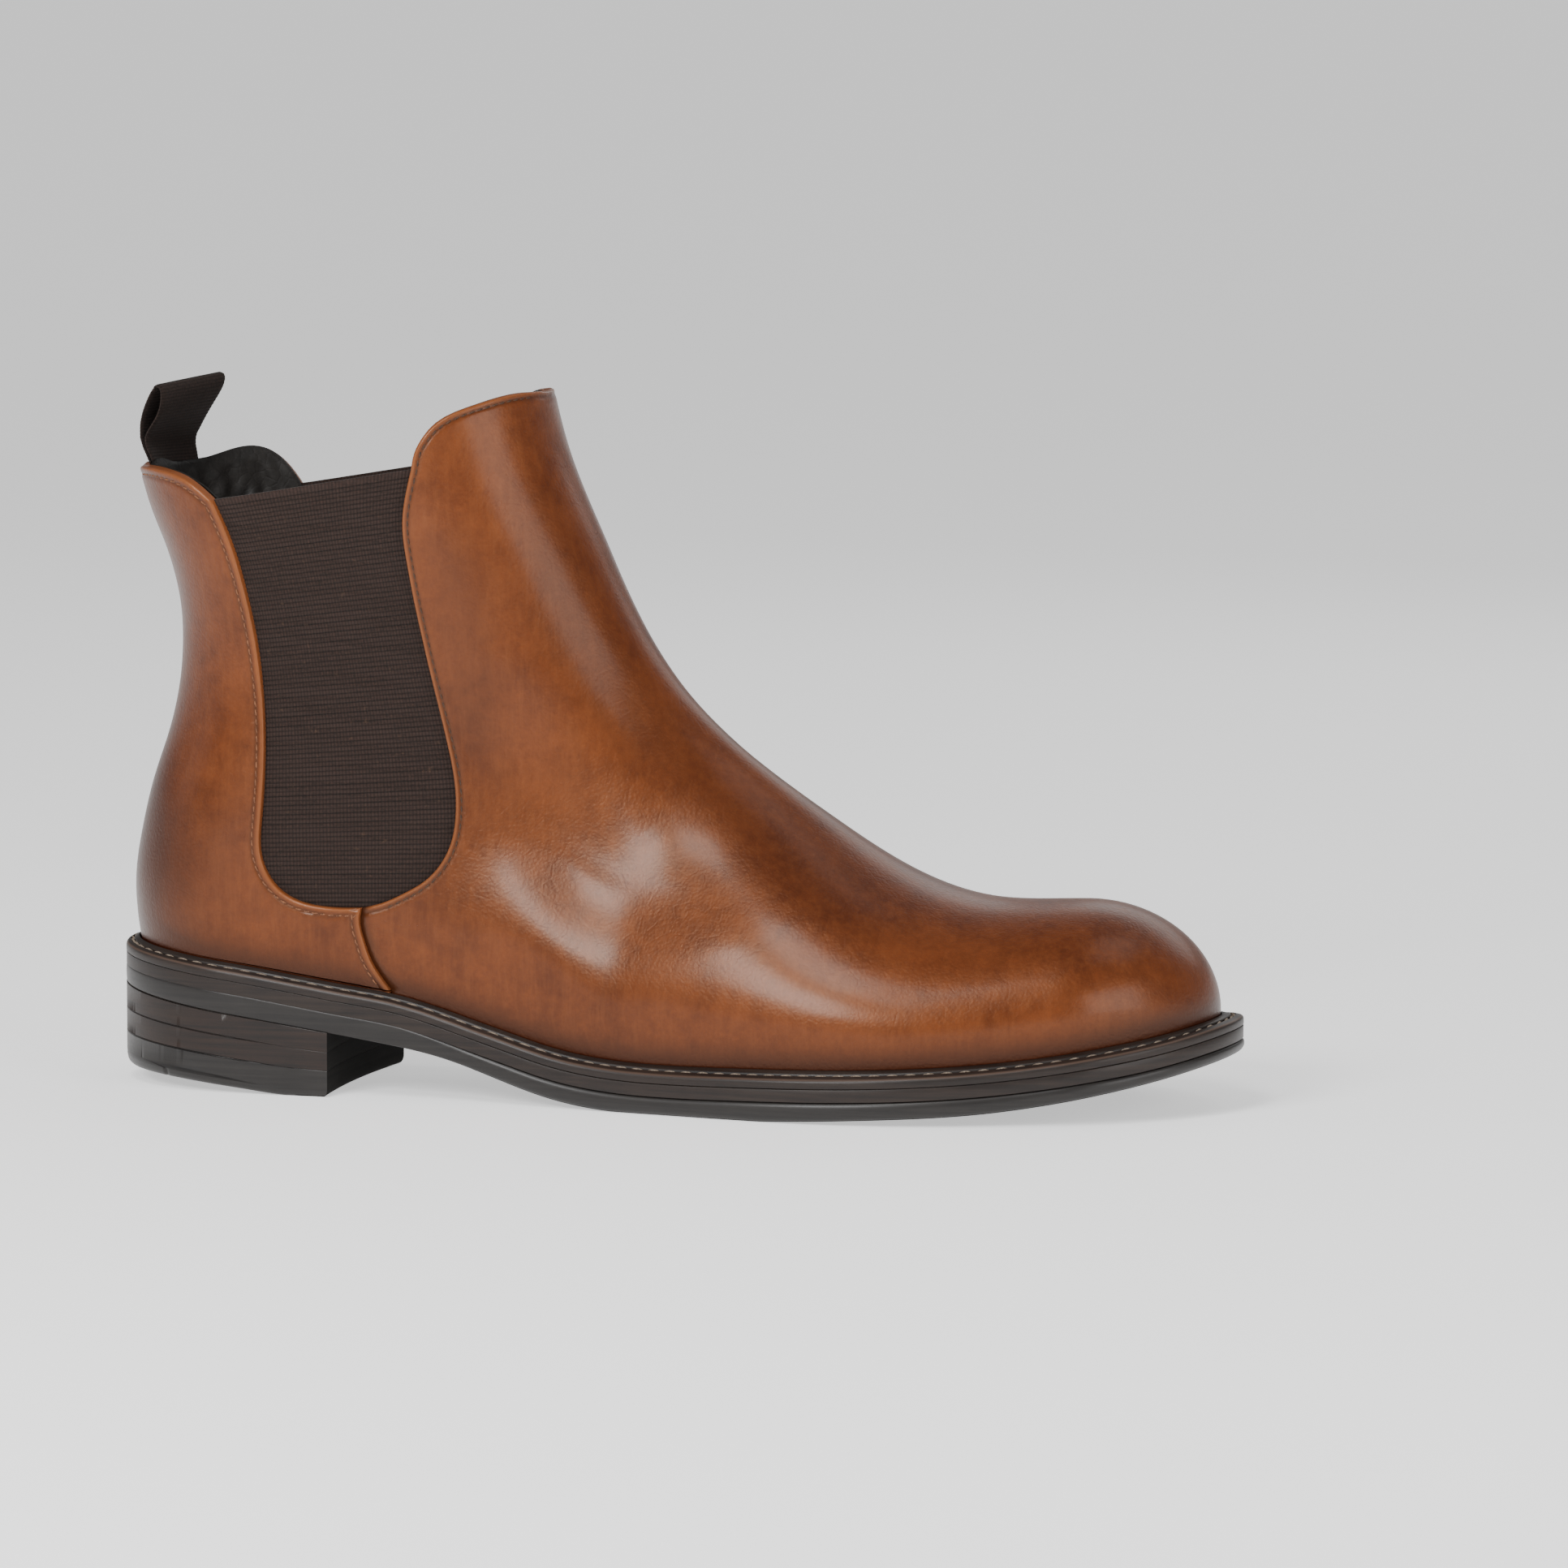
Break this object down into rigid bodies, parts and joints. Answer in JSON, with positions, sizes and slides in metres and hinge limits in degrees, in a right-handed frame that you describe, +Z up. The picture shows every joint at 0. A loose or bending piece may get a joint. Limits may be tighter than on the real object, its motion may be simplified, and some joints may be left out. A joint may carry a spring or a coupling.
{
  "type": "chelsea boot",
  "caption": "Ankle-high leather chelsea boot with elastic side gores, webbing pull tab, stitched welt and low stacked heel; right foot.",
  "frame": {"origin": "on the ground under the middle of the boot", "axes": "+X towards the toe, +Y towards the inner side of the foot, +Z up"},
  "size_m": [0.304, 0.1028, 0.1884],
  "materials": {
    "cognac_leather": "burnished, semi-gloss",
    "brown_elastic": "fine ribbed elastic, matt",
    "brown_webbing": "ribbed webbing, matt",
    "black_lining_leather": "soft, matt",
    "thermoplastic_stiffener": "matt sheet",
    "topline_tape": "woven tape",
    "insole_fibreboard": "pressed fibre, matt",
    "footbed_leather": "soft, matt",
    "cork_filler": "granulated cork",
    "shank_steel": "plain steel",
    "dark_brown_sole": "waxed edge",
    "sole_rubber": "satin rubber",
    "heel_stack": "waxed stacked edge",
    "pale_thread": "waxed thread",
    "brown_thread": "waxed thread"
  },
  "bodies": {
    "boot": {"vamp": "cognac_leather", "quarter_outer": "cognac_leather", "quarter_inner": "cognac_leather", "gore_outer": "brown_elastic", "gore_inner": "brown_elastic", "pull_tab_tails": "brown_webbing", "lining_vamp": "black_lining_leather", "lining_quarter": "black_lining_leather", "toe_puff": "thermoplastic_stiffener", "heel_counter": "thermoplastic_stiffener", "topline_tape": "topline_tape", "insole_board": "insole_fibreboard", "footbed": "footbed_leather", "cork_filler": "cork_filler", "shank": "shank_steel", "midsole": "dark_brown_sole", "welt": "dark_brown_sole", "outsole": "sole_rubber", "heel_lift_upper": "heel_stack", "heel_lift_lower": "heel_stack", "heel_top_piece": "sole_rubber", "welt_stitching": "pale_thread", "quarter_stitching_outer": "brown_thread", "quarter_stitching_inner": "brown_thread", "vamp_stitching_outer": "brown_thread", "vamp_stitching_inner": "brown_thread", "heel_nail_1": "shank_steel", "heel_nail_2": "shank_steel", "heel_nail_3": "shank_steel", "heel_nail_4": "shank_steel", "heel_nail_5": "shank_steel"},
    "pull_tab": {"pull_tab": "brown_webbing"}
  },
  "joints": [
    {"name": "pull_tab_bend", "type": "hinge", "parent": "boot", "child": "pull_tab", "pos_m": [-0.1433, 0.0077, 0.1684], "axis": [0.2756, 0.9613, 0], "range_deg": [-70, 60], "stiffness_Nm_per_rad": 0.01}
  ]
}
